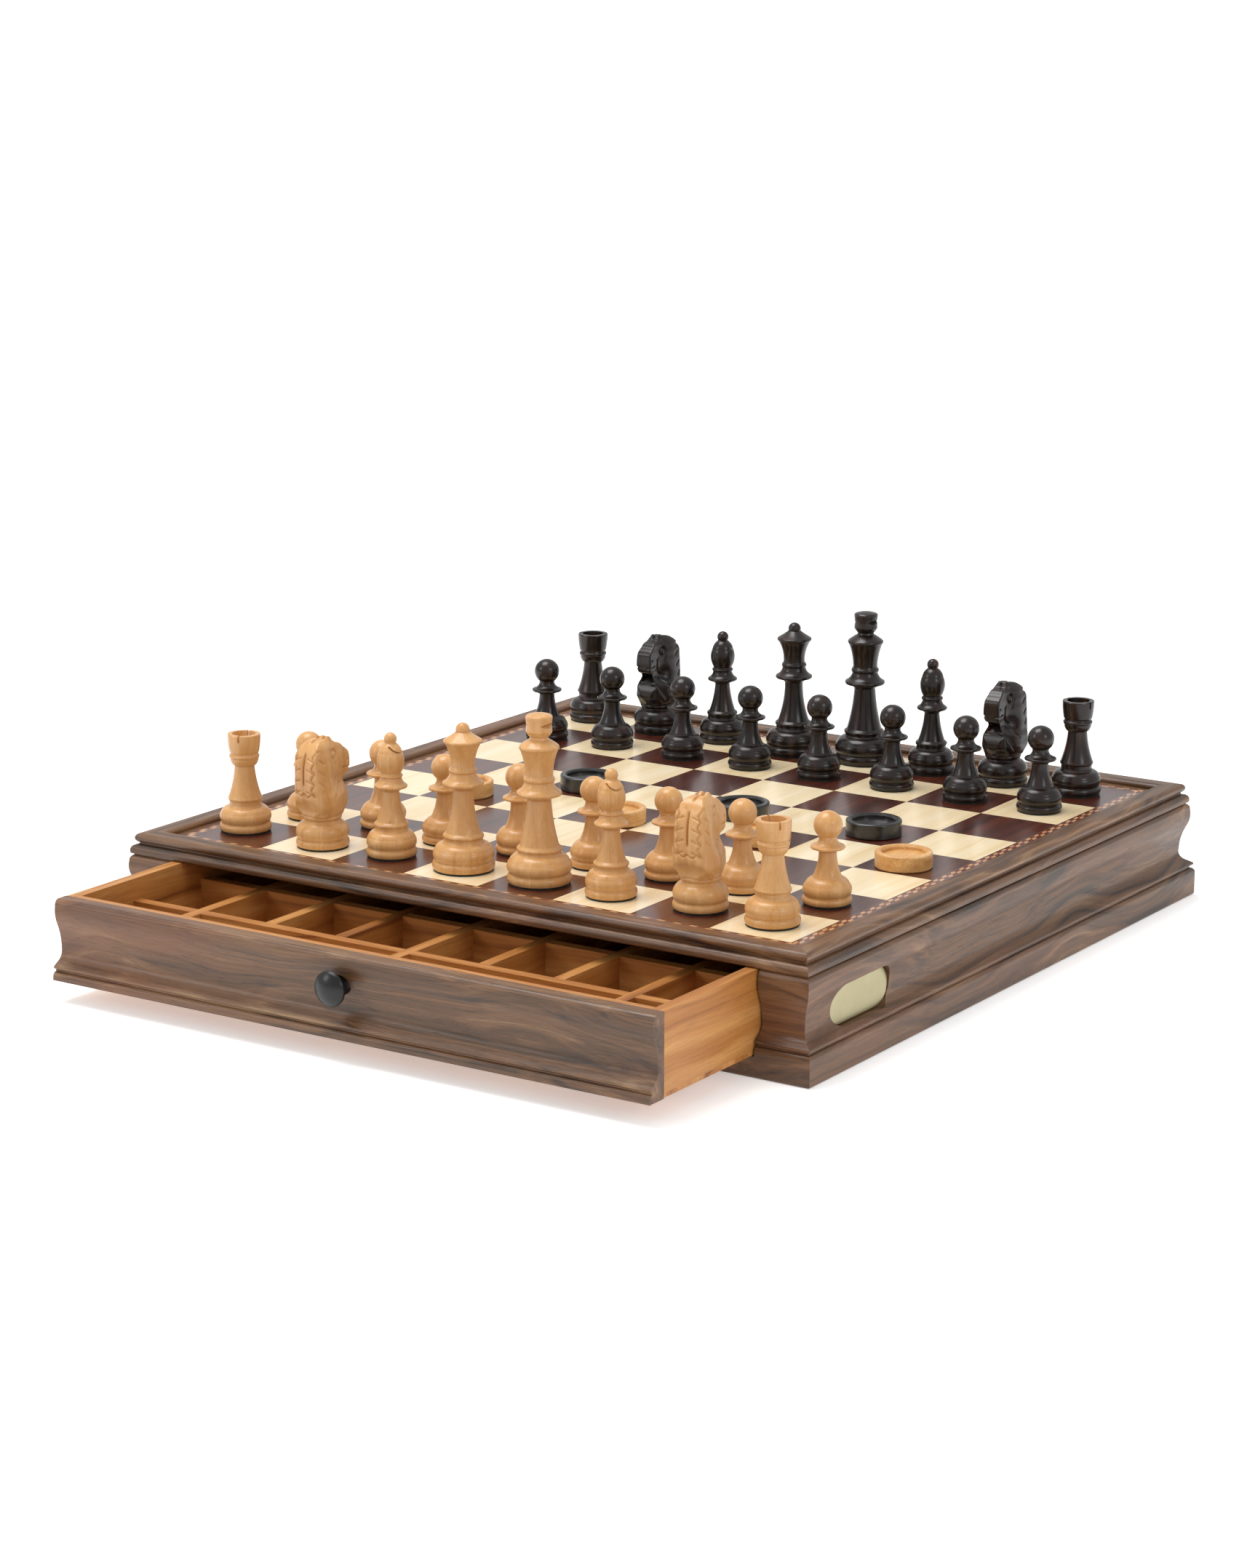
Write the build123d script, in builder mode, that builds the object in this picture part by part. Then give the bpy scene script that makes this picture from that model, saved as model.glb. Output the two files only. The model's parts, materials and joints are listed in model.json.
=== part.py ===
from build123d import *
import os

# A chess and draughts set: a walnut case with an inlaid board for a lid and a
# partitioned drawer in its front, thirty-two chess pieces and seven draughts.
# Millimetres.  +Z is up and the drawer opens towards -Y.  The origin is the
# centre of the case's underside.

os.makedirs("parts", exist_ok=True)

# ---------------------------------------------------------------- dimensions
SQUARE = 44.0  # side of one square of the board
BOARD_TOP = 58.7  # playing surface above the table
VENEER = 0.8  # thickness of the squares and borders
PANEL_THICK = 6.0  # board panel under the veneer
INLAY_WIDTH = 5.6  # mosaic strip round the squares
RIM_INNER = 185.0  # inner face of the rim, from the case centre

CASE_HALF = 202.0  # foot of the case, from the case centre
WALL_INNER = 186.0  # inner face of the case walls
WALL_TOP = 51.0  # joint between the walls and the top frame
FLOOR_THICK = 4.0  # bottom panel

OPENING_HALF = 172.6  # half width of the drawer opening
RAIL_TOP = 10.4  # top of the rail under the drawer
RUNNER_FOOT = 158.0  # inner edge of the runners, from the case centre
RUNNER_GUIDE_TOP = 24.0
RUNNER_GUIDE = 172.1  # guiding face of the runners, from the case centre

DRAWER_OUT = 86.0  # how far the drawer stands open
DRAWER_HALF = 171.5  # half width of the drawer box
FASCIA_HALF = 172.1
FASCIA_BACK = 190.5  # back of the fascia when shut, from the case centre
DRAWER_LOW = 10.8  # underside of the drawer
DRAWER_TOP = 50.7
DRAWER_FLOOR = 2.2  # thickness of the drawer bottom
DRAWER_WALL = 6.0
LINING = 3.5  # thin front board of the drawer box
DIVIDER = 6.0
DIVIDER_TOP = 39.5
COLUMNS = 8
ROW_DEPTHS = (37.8, 45.6, 88.0, 88.0)  # clear depth of each row, front first

KNOB_HEIGHT = 36.0
KNOB_SEAT = 196.0  # spot-faced seat of the knob when shut, from the case centre
KNOB_NECK = 5.0
KNOB_RADIUS = 8.5
SCREW_RADIUS = 2.0
SCREW_HEAD = 3.8
SCREW_HEAD_DEPTH = 2.2
SCREW_LENGTH = 16.5

PLATE_LENGTH = 53.4
PLATE_HEIGHT = 19.8
PLATE_THICK = 1.2
PLATE_GAP = 0.3
PLATE_SEAT = 193.6  # floor of the plate's recess, from the case centre
PLATE_Y = -146.3
PLATE_Z = 29.6

PAD = 1.0  # cloth pad under each chess piece
DRAUGHT_RADIUS = 14.3
DRAUGHT_THICK = 8.2
SLIT = 1.0  # saw cuts in the rooks
KERF = 0.8  # saw cut in the bishops

FAR = 260.0  # longer than any part of the case


# ------------------------------------------------------------------ outlines
def trace(outline):
    """Face from an outline: a pair is a straight run to that point, and four
    numbers are an arc through the first point to the second."""
    with BuildLine() as line:
        here = outline[0]
        for step in outline[1:]:
            if len(step) == 2:
                Line(here, step)
            else:
                ThreePointArc(here, step[:2], step[2:])
            here = step[-2:]
        Line(here, outline[0])
    make_face(line.edges())


def ball(neck, centre, radius):
    """Outline of a ball on the turning axis, entered from a neck of a given radius."""
    start = centre - (radius**2 - neck**2) ** 0.5
    return [(neck, start), (radius, centre, 0, centre + radius)]


def dome(rim, low, high):
    """Outline of a shallow dome on the turning axis, from its rim to its crown."""
    radius = (rim**2 + (high - low) ** 2) / (2 * (high - low))
    across = rim / 2
    return [(rim, low), (across, high - radius + (radius**2 - across**2) ** 0.5, 0, high)]


def wall_outline(inner):
    """Section of the case walls, x outwards from the case centre."""
    return [
        (inner, 0),
        (CASE_HALF - 1.3, 0),
        (CASE_HALF - 0.4, 0.4, CASE_HALF, 1.4),
        (CASE_HALF, 12.4),
        (CASE_HALF - 0.6, 14.2, CASE_HALF - 2.2, 15.1),  # top of the foot
        (CASE_HALF - 2.3, 15.7),
        (CASE_HALF - 1.1, 16.4),
        (CASE_HALF - 0.7, 17.2, CASE_HALF - 1.2, 18.0),  # nose of the lip
        (CASE_HALF - 4.3, 19.9),
        (CASE_HALF - 6.3, 22.2, CASE_HALF - 6.8, 25.9),  # cove
        (CASE_HALF - 6.1, 32.2, CASE_HALF - 4.3, 37.8),
        (CASE_HALF - 2.7, 43.4, CASE_HALF - 2.9, 47.4),  # shoulder
        (CASE_HALF - 3.4, 49.4, CASE_HALF - 4.8, 50.5),
        (CASE_HALF - 4.8, WALL_TOP),
        (inner, WALL_TOP),
    ]


def frame_outline():
    """Section of the top frame, x outwards from the case centre."""
    return [
        (RIM_INNER, WALL_TOP),
        (CASE_HALF - 4.6, WALL_TOP),
        (CASE_HALF - 3.5, 51.4, CASE_HALF - 3.3, 52.2),
        (CASE_HALF - 3.3, 53.0),
        (CASE_HALF - 4.2, 55.0, CASE_HALF - 6.3, 55.8),  # quarter round
        (CASE_HALF - 6.8, 56.1),
        (CASE_HALF - 6.8, 56.8),
        (CASE_HALF - 5.1, 59.2, CASE_HALF - 6.9, 61.4),  # bead
        (CASE_HALF - 14.5, 61.6),
        (CASE_HALF - 16.2, 61.0, CASE_HALF - 17.0, 59.4),
    ]


def side_plane(outward):
    """Plane whose x runs outwards through the middle of one side of the case."""
    return Plane(origin=(0, 0, 0), x_dir=outward, z_dir=Vector(*outward).cross(Vector(0, 0, 1)))


def mitred(outward, outline):
    """One side of the case in the open block: a moulding run, mitred at both ends."""
    with BuildSketch(side_plane(outward)) as section:
        trace(outline)
    extrude(section.sketch, amount=FAR, both=True)
    ox, oy = outward[0], outward[1]
    with BuildSketch(Plane.XY) as wedge:
        with BuildLine():
            corner = (FAR * (ox - oy), FAR * (oy + ox))
            other = (FAR * (ox + oy), FAR * (oy - ox))
            Polyline((0, 0), corner, other, close=True)
        make_face()
    extrude(wedge.sketch, amount=FAR, mode=Mode.INTERSECT)


def keep_box(low, high):
    """Trim the open part to a box between two corners."""
    size = [b - a for a, b in zip(low, high)]
    middle = tuple((a + b) / 2 for a, b in zip(low, high))
    with Locations(middle):
        Box(*size, mode=Mode.INTERSECT)


def block(low, high, mode=Mode.ADD):
    """A rectangular block between two corners."""
    size = [b - a for a, b in zip(low, high)]
    middle = tuple((a + b) / 2 for a, b in zip(low, high))
    with Locations(middle):
        Box(*size, mode=mode)


def save(part, name):
    part.label = name
    export_step(part, f"parts/{name}.step")


LEFT = (-1, 0, 0)
RIGHT = (1, 0, 0)
FRONT = (0, -1, 0)
BACK = (0, 1, 0)

# ---------------------------------------------------------------------- case
with BuildPart() as bottom_panel:
    block((-WALL_INNER, -WALL_INNER, 0), (WALL_INNER, WALL_INNER, FLOOR_THICK))
save(bottom_panel.part, "bottom_panel")

with BuildPart() as left_wall:
    mitred(LEFT, wall_outline(WALL_INNER))

with BuildPart() as right_wall:
    mitred(RIGHT, wall_outline(WALL_INNER))
    # shallow recess for the brass plate
    with BuildSketch(Plane.YZ.offset(PLATE_SEAT)):
        with Locations((PLATE_Y, PLATE_Z)):
            SlotOverall(PLATE_LENGTH + 2 * PLATE_GAP, PLATE_HEIGHT + 2 * PLATE_GAP)
    extrude(amount=CASE_HALF - PLATE_SEAT, mode=Mode.SUBTRACT)
save(Compound(children=[left_wall.part, right_wall.part]), "side_walls")

with BuildPart() as back_wall:
    mitred(BACK, wall_outline(WALL_INNER))
save(back_wall.part, "back_wall")

with BuildPart() as front_stiles:
    mitred(FRONT, wall_outline(WALL_INNER))
    block((-OPENING_HALF, -FAR, 0), (OPENING_HALF, 0, WALL_TOP), mode=Mode.SUBTRACT)
save(front_stiles.part, "front_stiles")

with BuildPart() as front_rail:
    mitred(FRONT, wall_outline(WALL_INNER))
    keep_box((-OPENING_HALF, -FAR, 0), (OPENING_HALF, 0, RAIL_TOP))
save(front_rail.part, "front_rail")

with BuildPart() as drawer_runners:
    for side in (-1, 1):
        with BuildSketch(Plane.XZ):
            with BuildLine():
                Polyline(
                    (side * RUNNER_FOOT, FLOOR_THICK),
                    (side * WALL_INNER, FLOOR_THICK),
                    (side * WALL_INNER, RUNNER_GUIDE_TOP),
                    (side * RUNNER_GUIDE, RUNNER_GUIDE_TOP),
                    (side * RUNNER_GUIDE, RAIL_TOP),
                    (side * RUNNER_FOOT, RAIL_TOP),
                    close=True,
                )
            make_face()
        extrude(amount=WALL_INNER, both=True)
save(drawer_runners.part, "drawer_runners")

frame_sides = []
for outward in (FRONT, BACK, LEFT, RIGHT):
    with BuildPart() as frame_side:
        mitred(outward, frame_outline())
    frame_sides.append(frame_side.part)
save(Compound(children=frame_sides), "top_frame")

with BuildPart() as brass_plate:
    with BuildSketch(Plane.YZ.offset(PLATE_SEAT)):
        with Locations((PLATE_Y, PLATE_Z)):
            SlotOverall(PLATE_LENGTH, PLATE_HEIGHT)
    extrude(amount=PLATE_THICK)
    chamfer(brass_plate.faces().sort_by(Axis.X)[-1].edges(), 0.3)
save(brass_plate.part, "brass_plate")

# --------------------------------------------------------------------- board
GRID_HALF = 4 * SQUARE
VENEER_LOW = BOARD_TOP - VENEER
PANEL_LOW = VENEER_LOW - PANEL_THICK

with BuildPart() as board_panel:
    block((-RIM_INNER, -RIM_INNER, PANEL_LOW), (RIM_INNER, RIM_INNER, VENEER_LOW))
save(board_panel.part, "board_panel")


def square_centre(name):
    """Centre of a square from its name, such as e4."""
    column = "abcdefgh".index(name[0]) - 3.5
    row = int(name[1]) - 4.5
    return column * SQUARE, row * SQUARE


def squares(parity):
    """Centres of all light squares (1) or all dark ones (0)."""
    names = [f + r for i, f in enumerate("abcdefgh") for r in "12345678" if (i + int(r) + 1) % 2 == parity]
    return [square_centre(name) for name in names]


def veneer_squares(parity):
    tiles = []
    for x, y in squares(parity):
        with BuildPart() as tile:
            low = (x - SQUARE / 2, y - SQUARE / 2, VENEER_LOW)
            block(low, (x + SQUARE / 2, y + SQUARE / 2, BOARD_TOP))
        tiles.append(tile.part)
    return Compound(children=tiles)


def veneer_border(inner, outer):
    """Four mitred strips between two squares, named by their half widths."""
    strips = []
    for outward in (FRONT, BACK, LEFT, RIGHT):
        with BuildPart() as strip:
            mitred(outward, [(inner, VENEER_LOW), (outer, VENEER_LOW), (outer, BOARD_TOP), (inner, BOARD_TOP)])
        strips.append(strip.part)
    return Compound(children=strips)


save(veneer_squares(1), "light_squares")

save(veneer_squares(0), "dark_squares")

save(veneer_border(GRID_HALF, GRID_HALF + INLAY_WIDTH), "mosaic_inlay")

save(veneer_border(GRID_HALF + INLAY_WIDTH, RIM_INNER), "walnut_border")

# -------------------------------------------------------------------- drawer
# The drawer's own y runs as when it is shut; everything is then moved out.
BOX_LOW = DRAWER_LOW + DRAWER_FLOOR
COLUMN_PITCH = (2 * (DRAWER_HALF - DRAWER_WALL) + DIVIDER) / COLUMNS


def shut_to_open(y):
    return y - DRAWER_OUT


drawer_front_y = shut_to_open(-FASCIA_BACK)
lining_back_y = drawer_front_y + LINING
row_starts = [lining_back_y]
for depth in ROW_DEPTHS:
    row_starts.append(row_starts[-1] + depth + DIVIDER)
drawer_back_y = row_starts[-1]
back_board_y = drawer_back_y - DRAWER_WALL
long_divider_ys = [start - DIVIDER for start in row_starts[1:-1]]
inner_half = DRAWER_HALF - DRAWER_WALL
cross_divider_xs = [(i - (COLUMNS - 2) / 2) * COLUMN_PITCH for i in range(COLUMNS - 1)]
FRONT_ROW_CROSSES = (0, 3, 6)  # the cross dividers that reach the lining
HALVING = (BOX_LOW + DIVIDER_TOP) / 2  # where the crossing boards notch together

with BuildPart() as drawer_front:
    mitred(FRONT, wall_outline(FASCIA_BACK))
    keep_box((-FASCIA_HALF, -FAR, DRAWER_LOW), (FASCIA_HALF, 0, DRAWER_TOP))
    with BuildSketch(Plane.XZ.offset(KNOB_SEAT)):
        with Locations((0, KNOB_HEIGHT)):
            Circle(KNOB_NECK)
    extrude(amount=CASE_HALF - KNOB_SEAT, mode=Mode.SUBTRACT)
    with BuildSketch(Plane.XZ.offset(FASCIA_BACK)):
        with Locations((0, KNOB_HEIGHT)):
            Circle(SCREW_RADIUS)
    extrude(amount=KNOB_SEAT - FASCIA_BACK, mode=Mode.SUBTRACT)
save(drawer_front.part.moved(Location((0, -DRAWER_OUT, 0))), "drawer_front")

with BuildPart() as drawer_bottom:
    block((-DRAWER_HALF, drawer_front_y, DRAWER_LOW), (DRAWER_HALF, drawer_back_y, BOX_LOW))
save(drawer_bottom.part, "drawer_bottom")

with BuildPart() as drawer_sides:
    for side in (-1, 1):
        xs = sorted((side * inner_half, side * DRAWER_HALF))
        block((xs[0], drawer_front_y, BOX_LOW), (xs[1], drawer_back_y, DRAWER_TOP))
save(drawer_sides.part, "drawer_sides")

with BuildPart() as drawer_ends:
    block((-inner_half, drawer_front_y, BOX_LOW), (inner_half, lining_back_y, DRAWER_TOP))
    block((-inner_half, back_board_y, BOX_LOW), (inner_half, drawer_back_y, DRAWER_TOP))
    with BuildSketch(Plane.XZ.offset(-drawer_front_y)):
        with Locations((0, KNOB_HEIGHT)):
            Circle(SCREW_RADIUS)
    extrude(amount=-LINING, mode=Mode.SUBTRACT)
    # countersink for the screw head, on the inside
    with BuildSketch(Plane.YZ):
        with BuildLine():
            Polyline(
                (lining_back_y, KNOB_HEIGHT),
                (lining_back_y, KNOB_HEIGHT + SCREW_HEAD),
                (lining_back_y - SCREW_HEAD_DEPTH, KNOB_HEIGHT + SCREW_RADIUS),
                (lining_back_y - SCREW_HEAD_DEPTH, KNOB_HEIGHT),
                close=True,
            )
        make_face()
    revolve(axis=Axis((0, 0, KNOB_HEIGHT), (0, 1, 0)), mode=Mode.SUBTRACT)
save(drawer_ends.part, "drawer_ends")

with BuildPart() as long_dividers:
    for index, y in enumerate(long_divider_ys):
        block((-inner_half, y, BOX_LOW), (inner_half, y + DIVIDER, DIVIDER_TOP))
        for column, x in enumerate(cross_divider_xs):
            if index > 0 or column in FRONT_ROW_CROSSES:
                low = (x - DIVIDER / 2, y, HALVING)
                block(low, (x + DIVIDER / 2, y + DIVIDER, DIVIDER_TOP), mode=Mode.SUBTRACT)
save(long_dividers.part, "long_dividers")

with BuildPart() as cross_dividers:
    for column, x in enumerate(cross_divider_xs):
        start = lining_back_y if column in FRONT_ROW_CROSSES else long_divider_ys[0] + DIVIDER
        block((x - DIVIDER / 2, start, BOX_LOW), (x + DIVIDER / 2, back_board_y, DIVIDER_TOP))
        for y in long_divider_ys:
            if y > start:
                low = (x - DIVIDER / 2, y, BOX_LOW)
                block(low, (x + DIVIDER / 2, y + DIVIDER, HALVING), mode=Mode.SUBTRACT)
save(cross_dividers.part, "cross_dividers")

knob_seat_y = shut_to_open(-KNOB_SEAT)
screw_head_y = lining_back_y
screw_tip_y = screw_head_y - SCREW_LENGTH
knob_axis = Axis((0, 0, KNOB_HEIGHT), (0, -1, 0))

with BuildPart() as knob:
    with BuildSketch(Plane(origin=(0, knob_seat_y, KNOB_HEIGHT), x_dir=(0, 0, 1), z_dir=(1, 0, 0))):
        # x is the radius and y runs outwards along the knob
        trace(
            [
                (0, 0),
                (KNOB_NECK, 0),
                (KNOB_NECK, 1.2),
                (4.2, 3.6, 4.3, 6.2),
                (5.6, 8.0, KNOB_RADIUS - 0.4, 8.8),
                (KNOB_RADIUS, 9.8, KNOB_RADIUS - 0.5, 10.8),
                *dome(KNOB_RADIUS - 0.6, 11.0, 13.8),
            ]
        )
    revolve(axis=knob_axis)
    with BuildSketch(Plane.XZ.offset(-knob_seat_y)):
        with Locations((0, KNOB_HEIGHT)):
            Circle(SCREW_RADIUS)
    extrude(amount=knob_seat_y - screw_tip_y, mode=Mode.SUBTRACT)
save(knob.part, "knob")

with BuildPart() as knob_screw:
    with BuildSketch(Plane(origin=(0, screw_head_y, KNOB_HEIGHT), x_dir=(0, 0, 1), z_dir=(1, 0, 0))):
        trace(
            [
                (0, 0),
                (SCREW_HEAD, 0),
                (SCREW_RADIUS, SCREW_HEAD_DEPTH),
                (SCREW_RADIUS, SCREW_LENGTH),
                (0, SCREW_LENGTH),
            ]
        )
    revolve(axis=knob_axis)
    # driver slot
    block((-3.2, screw_head_y - 0.9, KNOB_HEIGHT - 0.5), (3.2, screw_head_y, KNOB_HEIGHT + 0.5), mode=Mode.SUBTRACT)
save(knob_screw.part, "knob_screw")


# -------------------------------------------------------------- chess pieces
# Half outlines, radius and height above the board.  Each begins with the pad.
PAWN = [
    (0, 0),
    (11.3, 0),
    (11.3, PAD),
    (11.5, PAD),
    (11.95, 2.4, 11.5, 3.8),
    (10.9, 4.2),
    (10.9, 4.7),
    (11.75, 7.4, 10.8, 10.0),
    (9.4, 12.0, 7.3, 13.2),
    (6.6, 14.4),
    (4.9, 19.6, 4.3, 25.6),
    (6.0, 26.6),
    (8.0, 27.2),
    (8.3, 27.9, 8.0, 28.5),
    (5.6, 29.6, 4.3, 31.6),
    *ball(4.3, 38.4, 6.9),
]
ROOK = [
    (0, 0),
    (12.6, 0),
    (12.6, PAD),
    (12.8, PAD),
    (13.25, 2.5, 12.8, 4.1),
    (12.3, 4.6),
    (12.3, 5.1),
    (13.1, 7.7, 12.3, 10.1),
    (11.0, 12.0, 8.9, 12.9),
    (8.1, 14.2),
    (8.1, 16.0),
    (8.8, 16.9, 8.5, 17.9),
    (6.4, 25.0, 5.1, 34.0),
    (5.9, 34.3),
    (6.9, 36.0, 7.3, 38.0),
    (7.75, 38.8, 7.3, 39.8),
    (7.1, 40.5),
    (7.6, 41.3),
    (8.2, 45.5, 8.4, 49.9),
    (8.2, 50.4),
    (6.0, 50.4),
    (5.7, 47.6),
    (0, 47.2),
]
BISHOP = [
    (0, 0),
    (12.0, 0),
    (12.0, PAD),
    (12.2, PAD),
    (12.65, 2.5, 12.2, 4.1),
    (11.8, 4.7),
    (11.8, 5.2),
    (12.5, 7.7, 11.7, 10.2),
    (10.5, 12.2, 8.6, 13.2),
    (8.0, 14.2),
    (8.0, 15.4),
    (8.6, 16.2, 8.1, 17.2),
    (7.2, 18.0),
    (5.3, 24.6, 4.1, 33.0),
    (5.6, 34.3),
    (7.9, 35.0),
    (8.2, 35.7, 7.9, 36.4),
    (6.2, 37.8, 5.3, 40.2),
    (5.9, 41.0, 5.3, 41.8),
    (5.0, 42.4),
    (6.75, 47.8, 5.9, 52.6),
    (4.8, 55.4, 2.8, 57.4),
    *ball(2.8, 59.4, 3.2),
]
QUEEN = [
    (0, 0),
    (14.8, 0),
    (14.8, PAD),
    (15.0, PAD),
    (15.45, 2.8, 15.0, 4.6),
    (14.4, 5.1),
    (14.4, 5.6),
    (15.1, 8.0, 14.2, 10.8),
    (12.8, 12.8, 10.4, 13.8),
    (9.4, 15.2),
    (9.4, 16.2),
    (10.1, 17.1, 9.6, 18.1),
    (8.6, 19.0),
    (6.1, 28.0, 5.0, 40.2),
    (6.8, 41.8),
    (9.8, 42.6),
    (10.15, 43.4, 9.8, 44.2),
    (7.7, 45.8, 6.4, 48.8),
    (6.9, 49.9, 6.3, 51.0),
    (5.9, 51.8),
    (6.5, 57.8, 8.9, 63.4),
    (9.5, 64.4, 8.9, 65.3),
    (6.3, 66.9, 3.4, 69.0),
    *ball(3.3, 70.0, 3.5),
]
KING = [
    (0, 0),
    (15.0, 0),
    (15.0, PAD),
    (15.2, PAD),
    (15.7, 2.8, 15.2, 4.6),
    (14.8, 5.1),
    (14.8, 5.6),
    (15.85, 8.4, 14.8, 11.4),
    (13.2, 13.6, 10.9, 14.8),
    (10.3, 15.6),
    (10.3, 16.4),
    (11.0, 17.2, 10.4, 18.2),
    (9.5, 19.2),
    (7.0, 30.5, 5.8, 41.4),
    (7.4, 43.0),
    (10.6, 43.8),
    (10.95, 44.7, 10.5, 45.6),
    (8.4, 47.2, 7.0, 50.2),
    (7.6, 51.4, 7.0, 52.6),
    (6.7, 53.4),
    (7.4, 60.0, 9.2, 66.0),
    (9.75, 67.1, 9.2, 68.2),
    (6.8, 69.9, 4.7, 71.2),
    (4.4, 72.2),
    (5.4, 73.2, 6.4, 75.0),
    (6.2, 78.2, 6.5, 81.4),
    (6.4, 82.3),
    *dome(5.9, 82.8, 83.8),
]
KING_NOTCH = 2.5  # depth of the notches that make the cross
KING_NOTCH_Z = 78.2
KNIGHT_BASE = [
    (0, 0),
    (12.8, 0),
    (12.8, PAD),
    (13.0, PAD),
    (13.45, 2.5, 13.0, 4.1),
    (12.5, 4.6),
    (12.5, 5.1),
    (13.35, 7.8, 12.4, 10.6),
    (11.2, 12.6, 9.4, 13.6),
    (9.0, 14.6),
    (9.8, 15.8, 9.0, 16.9),
    (8.8, 17.6),
    (9.8, 18.4),
    (0, 18.4),
]
# Side view of the horse, y forwards from the piece's axis and z above the board.
KNIGHT_SIDE = [
    (-9.8, 17.9),
    (9.8, 17.9),
    (12.6, 21.6, 10.8, 27.2),
    (9.6, 30.6, 7.4, 33.8),
    (9.2, 35.4),
    (13.4, 35.2),
    (15.0, 37.4, 14.7, 46.8),
    (12.6, 49.8, 8.8, 51.8),
    (6.2, 53.8),
    (4.6, 56.6),
    (1.6, 55.6),
    (-2.0, 56.2),
    (-9.6, 53.6, -12.0, 45.0),
    (-12.6, 33.0, -12.3, 24.0),
]
# Front view of the horse, half widths and heights.
KNIGHT_FRONT = [
    (0, 17.9),
    (9.8, 17.9),
    (11.6, 21.4, 10.2, 26.0),
    (8.8, 32.0, 8.2, 40.0),
    (7.4, 47.0, 6.2, 52.0),
    (5.0, 55.6, 3.4, 56.8),
    (0, 56.8),
]


def piece_plane(x, y):
    """Upright plane through a piece's axis, x along the board's x and y up."""
    return Plane(origin=(x, y, BOARD_TOP), x_dir=(1, 0, 0), z_dir=(0, -1, 0))


def turned(outline, x, y):
    """Turn a half outline about the upright axis at x, y in the open block."""
    with BuildSketch(piece_plane(x, y)) as half:
        trace(outline)
    revolve(half.sketch, axis=Axis((x, y, 0), (0, 0, 1)))


def make_pawn(x, y, turn):
    with BuildPart() as piece:
        turned(PAWN, x, y)
    return piece


def make_rook(x, y, turn):
    with BuildPart() as piece:
        turned(ROOK, x, y)
        with Locations(Location((x, y, BOARD_TOP + 48.8), (0, 0, turn))):
            Box(SLIT, 20.0, 3.8, mode=Mode.SUBTRACT)
    return piece


def make_bishop(x, y, turn):
    with BuildPart() as piece:
        turned(BISHOP, x, y)
        # slanting saw cut that stops inside the mitre
        cut = Location((x, y, BOARD_TOP + 53.0), (0, 0, turn)) * Location((5.6, 0, 0), (0, 38, 0))
        with Locations(cut):
            Box(10.0, 16.0, KERF, mode=Mode.SUBTRACT)
    return piece


def make_queen(x, y, turn):
    with BuildPart() as piece:
        turned(QUEEN, x, y)
    return piece


def make_king(x, y, turn):
    with BuildPart() as piece:
        turned(KING, x, y)
        for side in (-1, 1):
            with BuildSketch(piece_plane(x, y)):
                with BuildLine():
                    tip = (side * (6.3 - KING_NOTCH), KING_NOTCH_Z)
                    Polyline(tip, (side * 7.4, KING_NOTCH_Z + 1.9), (side * 7.4, KING_NOTCH_Z - 1.9), close=True)
                make_face()
            extrude(amount=8.0, both=True, mode=Mode.SUBTRACT)
    return piece


def make_knight(x, y, turn):
    """The horse faces +Y at no turn: its side view is cut square to its front view."""
    spin = Location((x, y, BOARD_TOP), (0, 0, turn))
    with BuildPart() as horse:
        with BuildSketch(Plane.YZ):
            trace(KNIGHT_SIDE)
        extrude(amount=16.0, both=True)
        with BuildSketch(Plane.XZ):
            trace(KNIGHT_FRONT)
            mirror(about=Plane.YZ)
        extrude(amount=20.0, both=True, mode=Mode.INTERSECT)
    with BuildPart() as piece:
        turned(KNIGHT_BASE, x, y)
        add(horse.part.moved(spin))
    return piece


def make_draught(x, y, turn):
    half = [
        (0, 0),
        (DRAUGHT_RADIUS - 0.6, 0),
        (DRAUGHT_RADIUS, 0.6),
        (DRAUGHT_RADIUS, DRAUGHT_THICK - 1.1),
        (DRAUGHT_RADIUS - 0.3, DRAUGHT_THICK - 0.3, DRAUGHT_RADIUS - 1.1, DRAUGHT_THICK),
        (DRAUGHT_RADIUS - 2.6, DRAUGHT_THICK),
        (DRAUGHT_RADIUS - 3.3, DRAUGHT_THICK - 1.0),
        (DRAUGHT_RADIUS - 3.4, DRAUGHT_THICK - 2.4),
        (0, DRAUGHT_THICK - 2.6),
    ]
    with BuildPart() as piece:
        turned(half, x, y)
    return piece


MAKERS = {
    "pawn": make_pawn,
    "rook": make_rook,
    "knight": make_knight,
    "bishop": make_bishop,
    "queen": make_queen,
    "king": make_king,
    "draught": make_draught,
}
BACK_RANK = ("rook", "knight", "bishop", "queen", "king", "bishop", "knight", "rook")

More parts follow.
